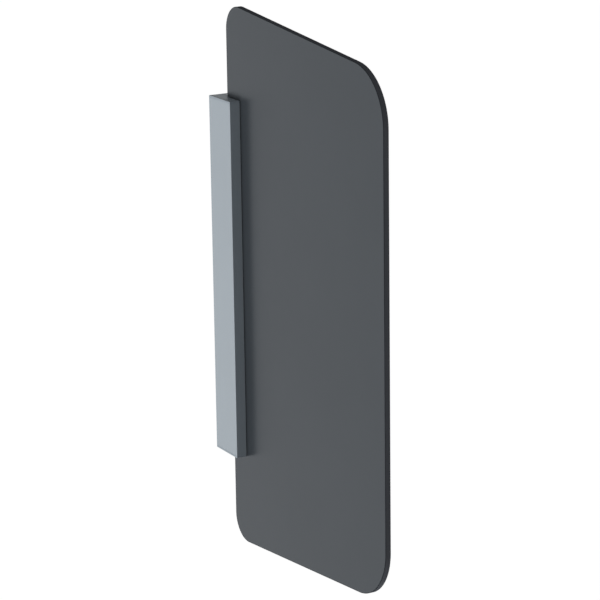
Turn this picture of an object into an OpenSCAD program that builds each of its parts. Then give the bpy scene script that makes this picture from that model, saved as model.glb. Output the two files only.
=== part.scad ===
// Glass privacy screen for a urinal, held in a screwless wall bracket.
// X runs across the screen, +Y points into the wall and +Z points up. The origin is on the
// wall plane at mid-height of the bracket. A depth is a distance out from the wall, along -Y.
// Left (-X) and right (+X) are as seen by someone who faces the wall.

/* [Screen] */
// Height of the glass along its wall edge
screen_h = 780; // [660:2:1000]
// Height of the glass along its free edge, lower because the top and bottom edges taper
free_edge_h = 702; // [560:2:780]
// Width of the glass, from its wall edge to its free edge
screen_w = 422; // [300:2:600]
// Thickness of the toughened glass
glass_t = 8; // [6:0.5:12]
// Radius of the two corners next to the wall
wall_corner_r = 35; // [10:1:55]
// Radius of the two corners at the free edge
free_corner_r = 77; // [20:1:150]
// Width of the ground arris round both faces of the glass
arris_w = 0.5; // [0.3:0.1:1.5]

/* [Bracket] */
// Height of the bracket over its end caps
bracket_h = 514; // [500:2:600]
// Gap from the wall to the wall edge of the glass
wall_gap = 25; // [20:1:50]
// Wall thickness of the clip-on covers
cover_t = 2; // [1.6:0.1:3]
// Outer corner radius of the covers at the mouth of the bracket
cover_corner_r = 1; // [0.4:0.1:1.5]
// Gap from the wall to the rear edge of the covers and caps
cover_wall_gap = 0.5; // [0.2:0.1:2]
// Thickness of the end caps
cap_t = 3; // [2.6:0.1:5]
// Distance that the rail stops short of the end caps
rail_inset = 4; // [2:0.5:8]

/* [Clamp] */
// Distance from the wall edge of the glass to the line of its holes
hole_inset = 23; // [22:0.5:30]
// Distance from the line of holes to the mouth of the bracket
mouth_land = 14; // [13.5:0.5:24]
// Thickness of the fixed jaw and of the loose clamp bar
jaw_t = 5; // [4:0.5:8]
// Thickness of the rail's back plate
back_t = 5; // [4:0.5:8]
// Thickness of the gaskets between glass and jaws
gasket_t = 2; // [1:0.1:3]
// Distance from the wall edge of the glass to the edge of the gaskets
gasket_inset = 1; // [0.5:0.1:2.5]
// Distance from the wall edge of the glass to the first of the two beads that key each gasket
first_key_inset = 5; // [4:0.5:8]
// Distance between those two beads
key_pitch = 7; // [4:0.5:8]
// Radius of the gasket's key beads
key_r = 0.6; // [0.4:0.1:0.9]
// Height of the tongue on which the clamp bar rocks
tongue_h = 2; // [1.5:0.1:3]
// Width of that tongue
tongue_w = 1.4; // [1:0.1:2]
// Height of each setting block behind the glass
block_h = 30; // [16:1:60]
// Distance between the two setting blocks
block_pitch = 300; // [120:10:320]
// Wall thickness of the setting blocks
block_wall = 2; // [1.5:0.1:3]

/* [Cover clips] */
// Height of the ribs on the jaws that the covers snap over
snap_rib_h = 3; // [2.6:0.1:3.6]
// Thickness of those ribs
snap_rib_t = 1.5; // [1.2:0.1:2]
// Height of the beads that hold the snap
snap_bead_h = 0.6; // [0.4:0.05:0.8]
// Thickness of the cover's sprung leg
snap_leg_t = 1; // [0.8:0.1:1.2]
// Height of the hook stems on the back plate
stem_h = 2; // [1.5:0.1:3]
// Thickness of the hook stems
stem_t = 1.4; // [1:0.1:1.6]
// Space between a hook stem and the inside of the cover
stem_space = 1.6; // [1.2:0.1:2]
// Thickness of the cover's hook
hook_t = 1.1; // [0.9:0.1:1.3]
// Thickness of the wiper seals across the mouth
wiper_w = 2.5; // [2:0.1:3]
// Thickness of the lip of the wiper seals beside the nose of the cover
wiper_lip_w = 0.5; // [0.4:0.1:1.6]
// Height of the return leg that holds the wiper seals
return_h = 2.3; // [1.8:0.1:2.6]
// Thickness of the return leg
return_t = 1; // [0.8:0.1:1.5]

/* [Fasteners] */
// Number of bolts through the glass
bolt_n = 4; // [2:1:4]
// Distance from each end of the rail to the nearest bolt
bolt_end = 25; // [20:1:60]
// Thread diameter of the clamp bolts
bolt_d = 6; // [5:0.5:7]
// Head diameter of the clamp bolts
bolt_head_d = 10.5; // [9.5:0.1:11.5]
// Head height of the clamp bolts
bolt_head_h = 3.3; // [2.5:0.1:4]
// Width across flats of the bolts' hexagon socket
bolt_socket_af = 4; // [3:0.5:5]
// Depth of that socket
bolt_socket_h = 2; // [1.5:0.1:2.2]
// Length of thread that stands out past the nut
bolt_tail = 1.4; // [0.5:0.1:3]
// Outside diameter of the washers
washer_d = 12; // [11.6:0.1:12.8]
// Thickness of the washers
washer_t = 1.6; // [1:0.1:2]
// Width across flats of the nuts
nut_af = 10; // [9.5:0.5:12]
// Height of the nuts
nut_h = 5; // [4:0.1:6]
// Diameter of the holes in the glass
glass_hole_d = 12; // [11:0.5:16]
// Diameter of the wall screw holes
wall_hole_d = 5.5; // [4.5:0.5:6.5]
// Diameter of the countersinks of the wall screw holes
wall_csk_d = 10.4; // [9:0.2:11]
// Number of wall screw holes
wall_hole_n = 4; // [2:1:4]
// Distance from each end of the rail to the nearest wall screw hole
wall_hole_end = 25; // [15:1:60]
// Bore of the screw ports in the rail and the covers
port_d = 3.4; // [3:0.1:4]
// Head diameter of the cap screws
cap_screw_head_d = 8; // [7:0.1:8.4]
// Length of the cap screws
cap_screw_len = 16; // [12:1:25]
// Width across flats of the cap screws' hexagon socket
cap_socket_af = 2.5; // [2:0.1:3]
// Depth of that socket
cap_socket_h = 1.4; // [1:0.1:1.8]
// Length of the pegs on the end caps
peg_len = 12; // [9:1:20]

/* [Fits] */
// Gap between pieces that are slipped or snapped together
play = 0.3; // [0.2:0.05:0.4]
// Gap round pieces that slide or press into each other
slide_fit = 0.1; // [0.05:0.05:0.15]
// Gap round a threaded or pressed shank in its bore
thread_fit = 0.05; // [0.02:0.01:0.08]
// Gap between the end caps and the glass
slot_gap = 0.5; // [0.3:0.1:1]
// Half the seam between the left and right end caps
seam_half = 0.1; // [0.05:0.05:0.3]

/* [Hidden] */
$fn = 48;

glass_grey = [0.34, 0.355, 0.37];
satin_aluminium = [0.68, 0.71, 0.74];
mill_aluminium = [0.76, 0.77, 0.78];
stainless = [0.62, 0.62, 0.63];
black_rubber = [0.09, 0.09, 0.1];
white_nylon = [0.88, 0.87, 0.83];

// Amount that a cutter or a joined solid runs past the face it meets
over = 1;

// Facets round the small and the large corners of the glass
small_corner_facets = 96;
large_corner_facets = 128;

// Depths out from the wall
hole_depth = wall_gap + hole_inset;
bracket_d = hole_depth + mouth_land;
nose_in = bracket_d - cover_t;
jaw_end = nose_in - return_h - play;
free_edge = wall_gap + screen_w;

// Distances across from the middle of the glass
glass_x = glass_t / 2;
jaw_in = glass_x + gasket_t;
jaw_out = jaw_in + jaw_t;
jaw_mid = (jaw_in + jaw_out) / 2;
head_clear = 0.6;
cover_in = jaw_out + max(nut_h + bolt_tail, washer_t + bolt_head_h) + head_clear;
cover_out = cover_in + cover_t;

// Heights
cover_h = bracket_h - 2 * cap_t;
rail_h = cover_h - 2 * rail_inset;

// Roots of the jaws, each round a screw port
csk_land = 0.4;
root_step = 1;
root_in = max(jaw_in - csk_land, wall_csk_d / 2 + csk_land);
root_out = jaw_out + root_step;
port_floor = 2.5;
port_wall = 1.1;
port_r = port_d / 2;
rail_port_x = (root_in + root_out) / 2;
rail_port_depth = back_t + port_floor + port_r;
root_end = rail_port_depth + port_r + port_wall + tongue_h;
root_cove_r = 1.2;

// Snap ribs on the jaws, and the sprung legs of the covers that lock under them
rib_near = hole_depth + max(washer_d / 2 + play, nut_af / 2) + slide_fit;
rib_far = rib_near + snap_rib_t;
rib_top = jaw_out + snap_rib_h;
bead_w = 1;
rib_bead_x = rib_top - bead_w / 2;
leg_bead_x = rib_bead_x - bead_w - slide_fit;
leg_near = rib_far + snap_bead_h + slide_fit;
leg_far = leg_near + snap_leg_t;
leg_tip = jaw_out + 2 * play;

// Hook stems on the back plate, and the hooks of the covers behind them
back_half = cover_in - play;
stem_out = cover_in - stem_space;
stem_in = stem_out - stem_t;
stem_end = back_t + stem_h;
hook_out = stem_in - play;
hook_in = hook_out - hook_t;
web_near = stem_end + play;
web_far = web_near + hook_t;

// Screw port in each cover, in the middle of the space between hook and washers
cover_port_rim = 0.9;
cover_port_r = port_r + cover_port_rim;
cover_port_x = cover_in - cover_port_r + play;
cover_port_depth = (web_far + hole_depth - washer_d / 2) / 2;
port_mouth = port_d / 2;

// Mouth of the bracket
nose_tip = glass_x + wiper_lip_w;
return_in = glass_x + wiper_w;
return_out = return_in + return_t;

// Fasteners and the bores they pass
jaw_hole_d = bolt_d + 2 * play;
bolt_slide_d = bolt_d + 4 * slide_fit;
bush_od = glass_hole_d - play;
head_seat = jaw_out + washer_t;
bolt_len = head_seat + jaw_out + nut_h + bolt_tail;
head_rim = 0.8;
head_crown = bolt_head_h - head_rim;
head_sphere_r = (pow(bolt_head_d / 2, 2) + pow(head_crown, 2)) / (2 * head_crown);
nut_rib_h = 2.2;
peg_r = port_r - thread_fit;
peg_point = 1;
cap_hole_r = port_r + 2 * play;
lug_h = 3;

// Taper of the glass, and the height of a rounded corner's centre at a distance from the wall edge
taper = atan((screen_h - free_edge_h) / 2 / screen_w);
function corner_z(inset, r) = screen_h / 2 - inset * tan(taper) - r / cos(taper);

// Places of the beads that key the gaskets, from the wall edge of the glass
key_insets = [first_key_inset, first_key_inset + key_pitch];

// Places along the bracket, with n of them spread between two equal distances from the rail's ends
function spread(n, end) = [for (i = [0 : n - 1]) (rail_h - 2 * end) * (i / (n - 1) - 1 / 2)];
bolt_zs = spread(bolt_n, bolt_end);
wall_hole_zs = spread(wall_hole_n, wall_hole_end);
block_zs = [-block_pitch / 2, block_pitch / 2];

// Children on the right as drawn, or mirrored to the left
module on_side(side) {
    mirror([side == "left" ? 1 : 0, 0, 0]) children();
}

// Children at each glass bolt, with Z turned to point from left to right
module at_bolts() {
    for (z = bolt_zs) translate([0, -hole_depth, z]) rotate([0, 90, 0]) children();
}

// Rectangle of a cross-section, between two places across and two depths
module bar(x0, x1, near, far) {
    translate([x0, -far]) square([x1 - x0, far - near]);
}

// Bead centred at x on a flank at a given depth, rising away from the wall unless it is turned
module bead(x, depth, turn = 0) {
    root = snap_leg_t / 2;
    translate([x, -depth]) rotate(turn) polygon([
        [-bead_w / 2, root], [-bead_w / 2, 0], [-bead_w / 4, -snap_bead_h],
        [bead_w / 4, -snap_bead_h], [bead_w / 2, 0], [bead_w / 2, root]
    ]);
}

// Fillet of radius r in the inside corner at x and depth, opening to the right (1) or left (-1)
module cove(x, depth, r, opening = 1) {
    far = x + opening * r;
    near = x - opening * over;
    difference() {
        bar(min(near, far), max(near, far), depth - over, depth + r);
        translate([far, -(depth + r)]) circle(r);
    }
}

// ---- Glass ----

// Disc of a rounded corner of the glass, with an arris round both faces
module corner_disc(r) {
    land = glass_t - 2 * arris_w;
    cylinder(h = land, r = r, center = true);
    cylinder(h = glass_t, r = r - arris_w, center = true);
}

// Plate of toughened glass, drawn in depth and height and then stood up on its edge
module glass_panel() {
    color(glass_grey) rotate([90, 0, -90]) difference() {
        hull() for (flip = [0, 1]) mirror([0, flip, 0]) {
            translate([wall_gap + wall_corner_r, corner_z(wall_corner_r, wall_corner_r), 0])
                corner_disc(wall_corner_r, $fn = small_corner_facets);
            translate([free_edge - free_corner_r, corner_z(screen_w - free_corner_r, free_corner_r), 0])
                corner_disc(free_corner_r, $fn = large_corner_facets);
        }
        for (z = bolt_zs) translate([hole_depth, z, 0])
            cylinder(h = glass_t + 2 * over, d = glass_hole_d, center = true);
    }
}

// ---- Rail, clamp bar and what they grip ----

// Rib with a bead on its outer flank, which the sprung leg of a cover snaps over
module snap_rib() {
    bar(jaw_out - over, rib_top, rib_near, rib_far);
    bead(rib_bead_x, rib_far);
}

// Grooves in the face of a jaw that take the key beads of its gasket
module key_grooves() {
    for (inset = key_insets) translate([jaw_in, -(wall_gap + inset)]) circle(key_r + slide_fit);
}

module rail_section() {
    difference() {
        union() {
            bar(-back_half, back_half, 0, back_t);
            bar(-root_out, -root_in, back_t - over, root_end);
            bar(root_in, root_out, back_t - over, root_end);
            bar(jaw_in, jaw_out, root_end - over, jaw_end);
            bar(-stem_out, -stem_in, back_t - over, stem_end);
            bar(stem_in, stem_out, back_t - over, stem_end);
            nut_near = hole_depth - nut_af / 2 - slide_fit;
            bar(jaw_out - over, jaw_out + nut_rib_h, nut_near - snap_rib_t, nut_near);
            bar(jaw_out - over, jaw_out + nut_rib_h, hole_depth + nut_af / 2 + slide_fit, rib_far);
            snap_rib();
            cove(-root_out, back_t, root_cove_r, -1);
            cove(root_out, back_t, root_cove_r);
            cove(jaw_out, root_end, root_cove_r / 2);
        }
        for (x = [-rail_port_x, rail_port_x]) translate([x, -rail_port_depth]) circle(port_r);
        groove_half = tongue_w / 2 + 2 * slide_fit;
        bar(-jaw_mid - groove_half, groove_half - jaw_mid, root_end - tongue_h, root_end + over);
        key_grooves();
    }
}

// Rail that is screwed to the wall, with the fixed jaw on the right of the glass
module wall_rail() {
    color(mill_aluminium) difference() {
        linear_extrude(rail_h, center = true) rail_section();
        for (z = wall_hole_zs) translate([0, 0, z]) rotate([90, 0, 0]) {
            csk_h = (wall_csk_d - wall_hole_d) / 2;
            translate([0, 0, -over]) cylinder(h = back_t + 2 * over, d = wall_hole_d);
            translate([0, 0, back_t - csk_h]) cylinder(h = csk_h, d1 = wall_hole_d, d2 = wall_csk_d);
            translate([0, 0, back_t]) cylinder(h = over, d = wall_csk_d);
        }
        at_bolts() cylinder(h = jaw_out + over, d = jaw_hole_d);
    }
}

module clamp_bar_section() {
    difference() {
        union() {
            bar(jaw_in, jaw_out, root_end + play, jaw_end);
            bar(jaw_mid - tongue_w / 2, jaw_mid + tongue_w / 2, root_end - tongue_h + play, root_end + over);
            snap_rib();
        }
        key_grooves();
    }
}

// Loose bar that the bolts press against the left of the glass
module clamp_bar() {
    color(mill_aluminium) difference() {
        on_side("left") linear_extrude(rail_h, center = true) clamp_bar_section();
        at_bolts() translate([0, 0, -jaw_out - over]) cylinder(h = jaw_out + over, d = jaw_hole_d);
    }
}

// Rubber sheet between the glass and a jaw, keyed to the jaw by two beads
module gasket(side) {
    color(black_rubber) difference() {
        on_side(side) linear_extrude(rail_h, center = true) {
            bar(glass_x, jaw_in, wall_gap + gasket_inset, jaw_end);
            for (inset = key_insets) translate([jaw_in, -(wall_gap + inset)]) circle(key_r);
        }
        at_bolts() cylinder(h = 2 * (jaw_in + over), d = glass_hole_d, center = true);
    }
}

module left_gasket() {
    gasket("left");
}

module right_gasket() {
    gasket("right");
}

// Nylon bush round each bolt, through the glass and both gaskets
module glass_bushes() {
    color(white_nylon) at_bolts() difference() {
        cylinder(h = 2 * jaw_in - play, d = bush_od, center = true);
        cylinder(h = 2 * jaw_in + over, d = bolt_slide_d, center = true);
    }
}

// Blocks that set the wall edge of the glass off the rail, hollowed from both ends
module setting_blocks() {
    half = root_in - play;
    color(white_nylon) for (z = block_zs) translate([0, 0, z]) difference() {
        linear_extrude(block_h, center = true) bar(-half, half, back_t, wall_gap);
        for (end = [-1, 1]) translate([0, 0, end * (block_h + block_wall) / 2])
            linear_extrude(block_h, center = true)
                bar(block_wall - half, half - block_wall, back_t + block_wall, wall_gap - block_wall);
    }
}

// ---- Fasteners of the clamp ----

// Hexagon with the given width across flats
module hexagon(af) {
    circle(d = af / cos(30), $fn = 6);
}

// Dome-headed bolts, whose heads lie on the left
module clamp_bolts() {
    color(stainless) at_bolts() translate([0, 0, -head_seat]) {
        cylinder(h = bolt_len, d = bolt_d);
        rotate([180, 0, 0]) difference() {
            intersection() {
                cylinder(h = bolt_head_h, d = bolt_head_d);
                translate([0, 0, bolt_head_h - head_sphere_r]) sphere(head_sphere_r);
            }
            translate([0, 0, bolt_head_h - bolt_socket_h])
                linear_extrude(bolt_socket_h + over) hexagon(bolt_socket_af);
        }
    }
}

module clamp_washers() {
    color(stainless) at_bolts() translate([0, 0, -head_seat]) difference() {
        cylinder(h = washer_t, d = washer_d);
        translate([0, 0, -over]) cylinder(h = washer_t + 2 * over, d = bolt_slide_d);
    }
}

// Nuts in the channel of the fixed jaw, with their flats against its ribs and a chamfer on the outside
module clamp_nuts() {
    chamfer_r = nut_af / 2 + slide_fit;
    color(stainless) at_bolts() translate([0, 0, jaw_out]) difference() {
        intersection() {
            linear_extrude(nut_h) hexagon(nut_af);
            cylinder(h = nut_h, r1 = chamfer_r + nut_h, r2 = chamfer_r);
        }
        translate([0, 0, -over]) cylinder(h = nut_h + 2 * over, d = bolt_d + 2 * thread_fit);
    }
}

// ---- Covers and their seals ----

module cover_section() {
    corner_y = -bracket_d + cover_corner_r;
    difference() {
        union() {
            bar(cover_in, cover_out, cover_wall_gap, bracket_d - cover_corner_r);
            bar(nose_tip, cover_out - cover_corner_r, nose_in, bracket_d);
            translate([cover_out - cover_corner_r, corner_y]) circle(cover_corner_r);
            bar(return_in, return_out, nose_in - return_h, nose_in + over);
            bar(leg_tip, cover_in + over, leg_near, leg_far);
            bead(leg_bead_x, leg_near, 180);
            bar(hook_in, cover_in + over, web_near, web_far);
            bar(hook_in, hook_out, back_t + play, web_far);
            translate([cover_port_x, -cover_port_depth]) circle(cover_port_r);
        }
        translate([cover_port_x, -cover_port_depth]) {
            circle(port_r);
            translate([-cover_port_r - over, -port_mouth / 2]) square([cover_port_r + over, port_mouth]);
        }
    }
}

// Cover that hooks behind a stem of the rail and snaps over a rib of the jaw
module cover(side) {
    color(satin_aluminium) on_side(side) linear_extrude(cover_h, center = true) cover_section();
}

module left_cover() {
    cover("left");
}

module right_cover() {
    cover("right");
}

// Wedge of rubber that fills the mouth between the glass and a cover
module wiper_seal(side) {
    lip_r = wiper_lip_w / 2;
    color(black_rubber) on_side(side) linear_extrude(cover_h, center = true) {
        bar(glass_x, return_in, nose_in - return_h, nose_in);
        bar(glass_x, nose_tip, nose_in - over, bracket_d - lip_r);
        translate([glass_x + lip_r, -(bracket_d - lip_r)]) circle(lip_r);
    }
}

module left_wiper_seal() {
    wiper_seal("left");
}

module right_wiper_seal() {
    wiper_seal("right");
}

// ---- End caps ----

// Outline of the right half of an end cap, cut back round the glass
module cap_outline() {
    difference() {
        union() {
            bar(seam_half, cover_out, cover_wall_gap, bracket_d - cover_corner_r);
            bar(seam_half, cover_out - cover_corner_r, bracket_d - cover_t, bracket_d);
            translate([cover_out - cover_corner_r, cover_corner_r - bracket_d]) circle(cover_corner_r);
        }
        bar(-over, glass_x + slot_gap, wall_gap - slot_gap, bracket_d + over);
    }
}

// Peg with a pointed end that presses into a screw port below the cap
module peg(x, depth) {
    translate([x, -depth, -peg_len]) {
        cylinder(h = peg_point, r1 = peg_r - peg_point / 2, r2 = peg_r);
        translate([0, 0, peg_point]) cylinder(h = peg_len - peg_point + over, r = peg_r);
    }
}

// Right half of a cap, drawn with its inner face at zero and a lug behind the nose of the cover
module half_cap() {
    linear_extrude(cap_t) cap_outline();
    translate([0, 0, -lug_h]) linear_extrude(lug_h + over)
        bar(return_out + play, cover_in - play, leg_far + play, nose_in - play);
    peg(cover_port_x, cover_port_depth);
}

// Blind cap for the top, pressed into the rail as well as into its cover
module top_cap(side) {
    color(satin_aluminium) on_side(side) translate([0, 0, cover_h / 2]) {
        half_cap();
        peg(rail_port_x, rail_port_depth);
    }
}

// Cap for the underside, with a countersunk hole for the screw that locks it to the rail
module bottom_cap(side) {
    color(satin_aluminium) on_side(side) mirror([0, 0, 1]) translate([0, 0, cover_h / 2]) difference() {
        half_cap();
        translate([rail_port_x, -rail_port_depth, 0]) {
            csk_r = cap_screw_head_d / 2 + slide_fit;
            translate([0, 0, -over]) cylinder(h = cap_t + 2 * over, r = cap_hole_r);
            translate([0, 0, cap_t - csk_r + cap_hole_r])
                cylinder(h = csk_r - cap_hole_r + over, r1 = cap_hole_r, r2 = csk_r + over);
        }
    }
}

module left_top_cap() {
    top_cap("left");
}

module right_top_cap() {
    top_cap("right");
}

module left_bottom_cap() {
    bottom_cap("left");
}

module right_bottom_cap() {
    bottom_cap("right");
}

// Countersunk screws under the bottom caps, with hexagon sockets
module cap_screws() {
    head_r = cap_screw_head_d / 2;
    color(stainless) for (side = ["left", "right"]) on_side(side)
        translate([rail_port_x, -rail_port_depth, -bracket_h / 2]) difference() {
            union() {
                cylinder(h = head_r - peg_r, r1 = head_r, r2 = peg_r);
                cylinder(h = cap_screw_len - peg_point, r = peg_r);
                translate([0, 0, cap_screw_len - peg_point])
                    cylinder(h = peg_point, r1 = peg_r, r2 = peg_r - peg_point);
            }
            translate([0, 0, -over]) linear_extrude(cap_socket_h + over) hexagon(cap_socket_af);
        }
}

glass_panel();
wall_rail();
clamp_bar();
left_gasket();
right_gasket();
glass_bushes();
setting_blocks();
clamp_bolts();
clamp_washers();
clamp_nuts();
left_cover();
right_cover();
left_wiper_seal();
right_wiper_seal();
left_top_cap();
right_top_cap();
left_bottom_cap();
right_bottom_cap();
cap_screws();
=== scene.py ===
import math
import bmesh
import bpy
from mathutils import Color, Matrix, Vector


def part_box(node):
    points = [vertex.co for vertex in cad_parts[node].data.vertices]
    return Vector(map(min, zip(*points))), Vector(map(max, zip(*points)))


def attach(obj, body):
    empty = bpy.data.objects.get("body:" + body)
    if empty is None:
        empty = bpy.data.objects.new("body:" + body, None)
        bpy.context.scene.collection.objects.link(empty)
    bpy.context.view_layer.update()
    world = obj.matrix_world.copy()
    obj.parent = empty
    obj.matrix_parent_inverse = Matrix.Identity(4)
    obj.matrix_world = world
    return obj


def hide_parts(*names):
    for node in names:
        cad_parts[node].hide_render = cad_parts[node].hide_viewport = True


# A glass privacy screen for a urinal, in an aluminium wall bracket that hides its screws.
# X runs across the glass, +Y points into the wall and Z is up. Everything is in metres.

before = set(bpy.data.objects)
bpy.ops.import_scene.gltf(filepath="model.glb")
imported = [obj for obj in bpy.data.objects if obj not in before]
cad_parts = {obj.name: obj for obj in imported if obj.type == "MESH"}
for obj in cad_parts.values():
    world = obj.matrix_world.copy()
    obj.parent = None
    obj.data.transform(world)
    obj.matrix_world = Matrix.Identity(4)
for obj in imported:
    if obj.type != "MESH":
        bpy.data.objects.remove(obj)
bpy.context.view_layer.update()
scene = bpy.context.scene
print("frame loaded:", len(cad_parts), "nodes")


def linear(red, green, blue):  # a colour as seen on a screen, 0 to 255, as the renderer's linear one
    return tuple(Color((red / 255, green / 255, blue / 255)).from_srgb_to_scene_linear())


# Camera, fitted to the photograph's edges

cameraSettings = {  # right, up and back are the camera's own axes
    "position": (-1.66343, -3.23498, 0.94183),
    "right": (0.87385, -0.48600, -0.01359),
    "up": (0.13851, 0.22205, 0.96515),
    "back": (-0.46605, -0.84528, 0.26135),
    "lens": 158.76,  # in millimetres, as is the sensor's width
    "sensor": 36.0,
}


def makeCamera(settings):
    data = bpy.data.cameras.new("photoCamera")
    data.lens = settings["lens"]
    data.sensor_width = settings["sensor"]
    camera = bpy.data.objects.new("photoCamera", data)
    scene.collection.objects.link(camera)
    turn = Matrix([settings["right"], settings["up"], settings["back"]]).transposed()
    camera.matrix_world = Matrix.Translation(settings["position"]) @ turn.to_4x4()
    scene.camera = camera


makeCamera(cameraSettings)
print("camera placed")


# Helpers for the materials' nodes

noiseSpread = (0.3, 0.7)  # where most of a noise texture's values lie


def newMaterial(name, settings):
    material = bpy.data.materials.new(name)
    material.use_nodes = True
    shader = material.node_tree.nodes["Principled BSDF"]
    shader.inputs["Base Color"].default_value = (*settings["colour"], 1)
    shader.inputs["Roughness"].default_value = sum(settings["roughness"]) / 2
    shader.inputs["Metallic"].default_value = settings["metallic"]
    shader.inputs["Specular IOR Level"].default_value = settings["specular"]
    return material, material.node_tree, shader


def noise(tree, scale, detail, stretch=(1, 1, 1)):  # scale is in cycles a metre
    place = tree.nodes.new("ShaderNodeTexCoord")
    mapping = tree.nodes.new("ShaderNodeMapping")
    mapping.inputs["Scale"].default_value = stretch
    texture = tree.nodes.new("ShaderNodeTexNoise")
    texture.inputs["Scale"].default_value = scale
    texture.inputs["Detail"].default_value = detail
    tree.links.new(place.outputs["Object"], mapping.inputs["Vector"])
    tree.links.new(mapping.outputs["Vector"], texture.inputs["Vector"])
    return texture.outputs["Fac"]


def remap(tree, pattern, low, high):  # the noise's spread to low and high
    node = tree.nodes.new("ShaderNodeMapRange")
    node.inputs["From Min"].default_value = noiseSpread[0]
    node.inputs["From Max"].default_value = noiseSpread[1]
    node.inputs["To Min"].default_value = low
    node.inputs["To Max"].default_value = high
    tree.links.new(pattern, node.inputs["Value"])
    return node.outputs["Result"]


def together(tree, first, second, share):  # two patterns as one, with this share of the first
    node = tree.nodes.new("ShaderNodeMath")
    node.operation = "ADD"
    tree.links.new(remap(tree, first, 0, share), node.inputs[0])
    tree.links.new(remap(tree, second, 0, 1 - share), node.inputs[1])
    return node.outputs["Value"]


def vary(tree, shader, pattern, settings):  # base colour between a darker and a lighter shade
    blend = tree.nodes.new("ShaderNodeMix")
    blend.data_type = "RGBA"
    blend.inputs["A"].default_value = (*[c * (1 - settings["shades"]) for c in settings["colour"]], 1)
    blend.inputs["B"].default_value = (*[c * (1 + settings["shades"]) for c in settings["colour"]], 1)
    tree.links.new(pattern, blend.inputs["Factor"])
    tree.links.new(blend.outputs["Result"], shader.inputs["Base Color"])


def roughen(tree, shader, pattern, settings):
    tree.links.new(remap(tree, pattern, *settings["roughness"]), shader.inputs["Roughness"])


def bump(tree, shader, pattern, settings):
    node = tree.nodes.new("ShaderNodeBump")
    node.inputs["Distance"].default_value = settings["depth"]
    tree.links.new(pattern, node.inputs["Height"])
    tree.links.new(node.outputs["Normal"], shader.inputs["Normal"])


# Materials. A pattern is given as cycles a metre and detail. Shades is how far the colour strays
# to either side, as a share of it, and depth is how high the pattern stands.

etchedFace = {
    "colour": linear(53, 57, 61),
    "shades": 0.03,
    "metallic": 0.0,
    "specular": 0.28,
    "gloss": linear(215, 235, 255),  # the tint of its reflections
    "roughness": (0.275, 0.305),
    "clouds": (7, 3),
    "cloudShare": 0.7,  # of the shading; the etch makes the rest
    "etch": (1800, 2),
    "depth": 0.000004,
    "smears": (60, 4),
}
groundEdge = {
    "colour": linear(113, 116, 123),
    "shades": 0.15,
    "metallic": 0.0,
    "specular": 0.0,
    "roughness": (0.55, 0.75),
    "grain": (900, 3),
    "depth": 0.00002,
}
polishedArris = {
    "colour": etchedFace["colour"],
    "shades": 0.1,
    "metallic": 0.0,
    "specular": 0.0,
    "roughness": (0.4, 0.6),
    "grain": (900, 3),
    "depth": 0.0,
}

# Covers and caps are anodised: their pale, matt skin renders as a coating does, not as a mirror
anodisedCover = {
    "colour": linear(163, 173, 181),
    "shades": 0.03,
    "metallic": 0.0,
    "specular": 0.5,
    "roughness": (0.36, 0.44),
    "lines": (1500, 3),
    "along": "Z",
    "depth": 0.00001,
}
anodisedCap = {**anodisedCover, "specular": 0.1, "roughness": (0.4, 0.48), "along": "Y"}
millRail = {
    **anodisedCover,
    "colour": linear(184, 186, 188),
    "metallic": 1.0,
    "roughness": (0.28, 0.4),
    "depth": 0.00003,
}
dieLines = {
    "stretch": 0.006,  # of the pattern along the lines
    "clouds": (9, 2),
    "lineShare": 0.6,  # of the shading; the clouds make the rest
}

stainlessSteel = {
    "colour": linear(178, 178, 180),
    "shades": 0.06,
    "metallic": 1.0,
    "specular": 0.5,
    "roughness": (0.28, 0.34),
    "grain": (1200, 3),
    "depth": 0.000003,
}
blackRubber = {
    "colour": linear(62, 64, 67),
    "shades": 0.2,
    "metallic": 0.0,
    "specular": 0.3,
    "roughness": (0.7, 0.9),
    "grain": (2200, 3),
    "depth": 0.00002,
}
whiteNylon = {
    "colour": linear(226, 223, 213),
    "shades": 0.03,
    "metallic": 0.0,
    "specular": 0.5,
    "roughness": (0.4, 0.5),
    "grain": (700, 2),
    "depth": 0.00001,
}


def makeEtchedGlass(name, settings):  # opaque dark grey, with a fine satin etch
    material, tree, shader = newMaterial(name, settings)
    shader.inputs["Specular Tint"].default_value = (*settings["gloss"], 1)
    clouds = noise(tree, *settings["clouds"])
    etch = noise(tree, *settings["etch"])
    shading = together(tree, clouds, etch, settings["cloudShare"])
    vary(tree, shader, remap(tree, shading, 0, 1), settings)
    roughen(tree, shader, noise(tree, *settings["smears"]), settings)
    bump(tree, shader, etch, settings)
    return material


def makeAluminium(name, settings, lines):  # drawn through a die, which leaves fine lines
    material, tree, shader = newMaterial(name, settings)
    stretch = [lines["stretch"] if axis == settings["along"] else 1.0 for axis in "XYZ"]
    marks = noise(tree, *settings["lines"], stretch)
    clouds = noise(tree, *lines["clouds"])
    vary(tree, shader, together(tree, marks, clouds, lines["lineShare"]), settings)
    roughen(tree, shader, marks, settings)
    bump(tree, shader, marks, settings)
    return material


def makeGrained(name, settings):  # one even grain in colour, gloss and, given a depth, height
    material, tree, shader = newMaterial(name, settings)
    grain = noise(tree, *settings["grain"])
    vary(tree, shader, grain, settings)
    roughen(tree, shader, grain, settings)
    if settings["depth"]:
        bump(tree, shader, grain, settings)
    return material


glassFace = makeEtchedGlass("darkGlassFace", etchedFace)
glassEdge = makeGrained("groundGlassEdge", groundEdge)
glassArris = makeGrained("polishedGlassArris", polishedArris)
coverAluminium = makeAluminium("coverAluminium", anodisedCover, dieLines)
capAluminium = makeAluminium("capAluminium", anodisedCap, dieLines)
railAluminium = makeAluminium("railAluminium", millRail, dieLines)
steel = makeGrained("stainlessSteel", stainlessSteel)
rubber = makeGrained("blackRubber", blackRubber)
nylon = makeGrained("whiteNylon", whiteNylon)
print("materials made:", len(bpy.data.materials))


# Helpers for the meshes

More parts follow.
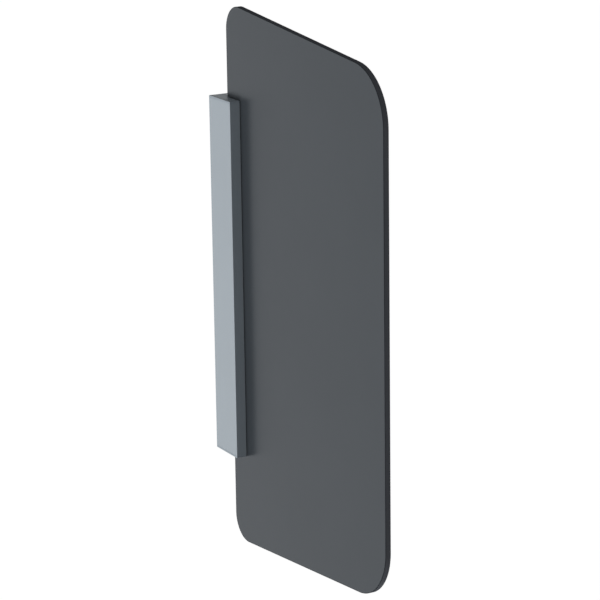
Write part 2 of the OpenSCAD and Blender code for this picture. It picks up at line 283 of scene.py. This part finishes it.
edgeRounding = {
    "sharpAngle": 35,  # in degrees; the facets of a curve meet at less
    "faceWeight": 90,  # how far a large face keeps its flat look up to its rounded edges
}


def toObject(mesh, name, *materials):
    piece = bpy.data.objects.new(name, mesh)
    scene.collection.objects.link(piece)
    for material in materials:
        mesh.materials.append(material)
    return piece


def softenEdges(piece, width, steps, material=-1):  # a small round along every sharp edge
    piece.data.shade_smooth()
    rounds = piece.modifiers.new("roundedEdges", "BEVEL")
    rounds.width = width
    rounds.use_clamp_overlap = False  # or one tight spot makes every round on the piece narrower
    rounds.loop_slide = False  # even widths, also where an edge within a flat face ends at the round
    rounds.segments = steps
    rounds.limit_method = "ANGLE"
    rounds.angle_limit = math.radians(edgeRounding["sharpAngle"])
    rounds.material = material
    normals = piece.modifiers.new("flatFaces", "WEIGHTED_NORMAL")
    normals.weight = edgeRounding["faceWeight"]


def baked(piece):  # the mesh with its modifiers applied
    depsgraph = bpy.context.evaluated_depsgraph_get()
    return bpy.data.meshes.new_from_object(piece.evaluated_get(depsgraph), depsgraph=depsgraph)


# Glass plate

glassPlate = {
    "wallEdgeHeight": 0.780,  # between the sharp corners, before they are rounded
    "freeEdgeHeight": 0.702,
    "wallRadius": 0.035,
    "freeRadius": 0.077,
    "cornerSteps": 240,  # facets in a full turn
    "mergeAngle": 0.3,  # in degrees, under which faces are one
    "arris": 0.0005,
    "arrisSteps": 3,
    "margin": 0.0009,  # from the edge to where the etch of the faces starts
    "holeInset": 0.023,  # from the wall edge to the line of holes
    "holeDiameter": 0.012,
    "holeHeights": (-0.225, -0.075, 0.075, 0.225),
    "holeSteps": 48,
}
acrossX = Matrix.Rotation(math.radians(90), 4, "Y")  # turns a flat circle to face along X
etched, ground, polished = range(3)  # the plate's materials, by their number


def roundedOutline(bm, settings, low, high):  # a skin over circles at the corners of both faces
    width = high.y - low.y
    taper = math.atan((settings["wallEdgeHeight"] - settings["freeEdgeHeight"]) / 2 / width)
    wallRadius = settings["wallRadius"]
    freeRadius = settings["freeRadius"]
    for inset, radius in ((wallRadius, wallRadius), (width - freeRadius, freeRadius)):
        height = settings["wallEdgeHeight"] / 2 - inset * math.tan(taper) - radius / math.cos(taper)
        for z in (height, -height):
            for x in (low.x, high.x):
                place = Matrix.Translation((x, high.y - inset, z)) @ acrossX
                bmesh.ops.create_circle(bm, segments=settings["cornerSteps"], radius=radius, matrix=place)
    bmesh.ops.delete(bm, geom=bm.edges[:], context="EDGES_FACES")
    hull = bmesh.ops.convex_hull(bm, input=bm.verts)
    spare = {v for v in hull["geom_interior"] + hull["geom_unused"] if isinstance(v, bmesh.types.BMVert)}
    bmesh.ops.delete(bm, geom=list(spare), context="VERTS")
    mergeAngle = math.radians(settings["mergeAngle"])
    bmesh.ops.dissolve_limit(bm, angle_limit=mergeAngle, verts=bm.verts, edges=bm.edges)
    bmesh.ops.recalc_face_normals(bm, faces=bm.faces)


def markFinishes(bm, margin):  # etched faces with a polished margin, and a ground rim
    mostlyX = 0.9
    faces = [face for face in bm.faces if abs(face.normal.x) > mostlyX]
    for face in bm.faces:
        face.material_index = ground
    margins = bmesh.ops.inset_individual(bm, faces=faces, thickness=margin, use_even_offset=True)
    for face in margins["faces"]:
        face.material_index = polished
    for face in faces:
        face.material_index = etched


def drillHoles(plate, settings, low, high):
    bm = bmesh.new()
    radius = settings["holeDiameter"] / 2
    throughAll = 3 * (high.x - low.x)  # well past both faces
    for z in settings["holeHeights"]:
        place = Matrix.Translation((0, high.y - settings["holeInset"], z)) @ acrossX
        bmesh.ops.create_cone(bm, cap_ends=True, segments=settings["holeSteps"], radius1=radius,
                              radius2=radius, depth=throughAll, matrix=place)
    for face in bm.faces:
        face.material_index = ground
    mesh = bpy.data.meshes.new("drill")
    bm.to_mesh(mesh)
    bm.free()
    drill = toObject(mesh, "drill", glassFace, glassEdge)
    holes = plate.modifiers.new("holes", "BOOLEAN")
    holes.object = drill
    holes.solver = "EXACT"
    plate.data = baked(plate)
    plate.modifiers.clear()
    bpy.data.objects.remove(drill)


def makeGlassPlate(settings):
    low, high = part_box("glass_panel")
    bm = bmesh.new()
    roundedOutline(bm, settings, low, high)
    markFinishes(bm, settings["margin"])
    mesh = bpy.data.meshes.new("glassPlate")
    bm.to_mesh(mesh)
    bm.free()
    plate = toObject(mesh, "glass_plate", glassFace, glassEdge, glassArris)
    drillHoles(plate, settings, low, high)
    softenEdges(plate, settings["arris"], settings["arrisSteps"], polished)
    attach(plate, "root")
    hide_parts("glass_panel")


makeGlassPlate(glassPlate)
print("glass plate made")


# Bracket: the CAD solids with their edges broken as on the real extrusions

bracketEdges = {
    "cover": 0.0001,  # widths of the rounded edges
    "cap": 0.0002,
    "steps": 2,
    "weld": 0.000002,  # corners nearer than this are one
    "mergeAngle": 0.5,  # in degrees, under which facets are one face
}
bracketPieces = {
    "left_cover": ("left_cover_shell", "cover", coverAluminium),
    "right_cover": ("right_cover_shell", "cover", coverAluminium),
    "left_top_cap": ("left_top_end_cap", "cap", capAluminium),
    "right_top_cap": ("right_top_end_cap", "cap", capAluminium),
    "left_bottom_cap": ("left_bottom_end_cap", "cap", capAluminium),
    "right_bottom_cap": ("right_bottom_end_cap", "cap", capAluminium),
}


def dressNode(node, name, width, material, settings):
    bm = bmesh.new()
    bm.from_mesh(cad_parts[node].data)
    mergeAngle = math.radians(settings["mergeAngle"])
    bmesh.ops.remove_doubles(bm, verts=bm.verts, dist=settings["weld"])
    bmesh.ops.dissolve_limit(bm, angle_limit=mergeAngle, verts=bm.verts, edges=bm.edges)
    for face in bm.faces:
        face.material_index = 0
    mesh = bpy.data.meshes.new(name)
    bm.to_mesh(mesh)
    bm.free()
    mesh.attributes.remove(mesh.attributes["custom_normal"])  # the solid's own, which no longer fit
    piece = toObject(mesh, name, material)
    softenEdges(piece, width, settings["steps"])
    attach(piece, "root")
    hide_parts(node)


for node, (name, kind, material) in bracketPieces.items():
    dressNode(node, name, bracketEdges[kind], material, bracketEdges)
print("bracket pieces made:", len(bracketPieces))


# Finishes of the CAD nodes, those that a dressed piece stands for among them

nodeFinishes = {
    "wall_rail": railAluminium,
    "clamp_bar": railAluminium,
    "left_gasket": rubber,
    "right_gasket": rubber,
    "left_wiper_seal": rubber,
    "right_wiper_seal": rubber,
    "glass_bushes": nylon,
    "setting_blocks": nylon,
    "clamp_bolts": steel,
    "clamp_washers": steel,
    "clamp_nuts": steel,
    "cap_screws": steel,
    "glass_panel": glassFace,
    "left_cover": coverAluminium,
    "right_cover": coverAluminium,
    "left_top_cap": capAluminium,
    "right_top_cap": capAluminium,
    "left_bottom_cap": capAluminium,
    "right_bottom_cap": capAluminium,
}
for node, material in nodeFinishes.items():
    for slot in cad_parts[node].material_slots:
        slot.material = material
print("nodes finished:", len(nodeFinishes))


# Floor, background and lamps

stage = {
    "floorHeight": -0.95,  # the screen's lower edge hangs about half a metre above it
    "floorReach": 30.0,  # from the floor's middle to each side
    "floorColour": 0.8,
    "floorGlow": 0.9,  # what the camera sees besides the lamps' light on the floor
    "floorBounce": 0.3,  # the floor's colour where it only throws light back on the screen
    "roomLight": 0.135,  # the background's strength as a light; it is seen as plain white
}


def seenDirectly(tree):  # 1 for camera, glossy and transmission rays
    path = tree.nodes.new("ShaderNodeLightPath")
    either = path.outputs["Is Camera Ray"]
    for output in ("Is Glossy Ray", "Is Transmission Ray"):
        node = tree.nodes.new("ShaderNodeMath")
        node.operation = "MAXIMUM"
        tree.links.new(either, node.inputs[0])
        tree.links.new(path.outputs[output], node.inputs[1])
        either = node.outputs["Value"]
    return either


def makeFloorMaterial(settings):  # lit and glowing to the eye, plain grey to the light that it throws back
    material = bpy.data.materials.new("paleFloor")
    material.use_nodes = True
    tree = material.node_tree
    tree.nodes.clear()
    output = tree.nodes.new("ShaderNodeOutputMaterial")
    lit = tree.nodes.new("ShaderNodeBsdfDiffuse")
    lit.inputs["Color"].default_value = (*[settings["floorColour"]] * 3, 1)
    glow = tree.nodes.new("ShaderNodeEmission")
    glow.inputs["Strength"].default_value = settings["floorGlow"]
    both = tree.nodes.new("ShaderNodeAddShader")
    bounce = tree.nodes.new("ShaderNodeBsdfDiffuse")
    bounce.inputs["Color"].default_value = (*[settings["floorBounce"]] * 3, 1)
    choice = tree.nodes.new("ShaderNodeMixShader")
    tree.links.new(lit.outputs["BSDF"], both.inputs[0])
    tree.links.new(glow.outputs["Emission"], both.inputs[1])
    tree.links.new(seenDirectly(tree), choice.inputs["Fac"])
    tree.links.new(bounce.outputs["BSDF"], choice.inputs[1])
    tree.links.new(both.outputs["Shader"], choice.inputs[2])
    tree.links.new(choice.outputs["Shader"], output.inputs["Surface"])
    material.cycles.emission_sampling = "NONE"  # the glow is only to be seen, not to light the screen
    return material


def makeFloor(settings):
    bm = bmesh.new()
    bmesh.ops.create_grid(bm, x_segments=1, y_segments=1, size=settings["floorReach"],
                          matrix=Matrix.Translation((0, 0, settings["floorHeight"])))
    mesh = bpy.data.meshes.new("floor")
    bm.to_mesh(mesh)
    bm.free()
    floor = toObject(mesh, "floor", makeFloorMaterial(settings))
    floor.visible_shadow = False  # the side lamps shine up through it


def makeWorld(settings):
    world = bpy.data.worlds.new("studio")
    scene.world = world
    world.use_nodes = True
    tree = world.node_tree
    background = tree.nodes["Background"]
    background.inputs["Color"].default_value = (1, 1, 1, 1)
    strength = tree.nodes.new("ShaderNodeMapRange")
    strength.inputs["To Min"].default_value = settings["roomLight"]
    strength.inputs["To Max"].default_value = 1.0
    tree.links.new(seenDirectly(tree), strength.inputs["Value"])
    tree.links.new(strength.outputs["Result"], background.inputs["Strength"])
    world.cycles.sampling_method = "NONE"  # so that glossy rays see it as white as the camera does


makeFloor(stage)
makeWorld(stage)

# Towards points from the screen to the lamp. Brightness is how a white surface that faces the
# lamp renders, from 0 to 1. Spread is how wide the lamp looks, in degrees.
lamps = {
    "leftLamp": {"towards": (-0.97, 0.10, -0.38), "brightness": 0.78, "spread": 40},
    "rightLamp": {"towards": (0.97, 0.10, -0.38), "brightness": 0.78, "spread": 40},
    "frontLamp": {"towards": (-0.3, -1.0, 0.0), "brightness": 0.06, "spread": 40},
}


def makeLamp(name, settings):
    data = bpy.data.lights.new(name, "SUN")
    data.energy = settings["brightness"] * math.pi
    data.angle = math.radians(settings["spread"])
    lamp = bpy.data.objects.new(name, data)
    scene.collection.objects.link(lamp)
    lamp.rotation_euler = Vector(settings["towards"]).to_track_quat("Z", "Y").to_euler()


for name, settings in lamps.items():
    makeLamp(name, settings)
scene.view_settings.view_transform = "Standard"
print("stage and lamps set")
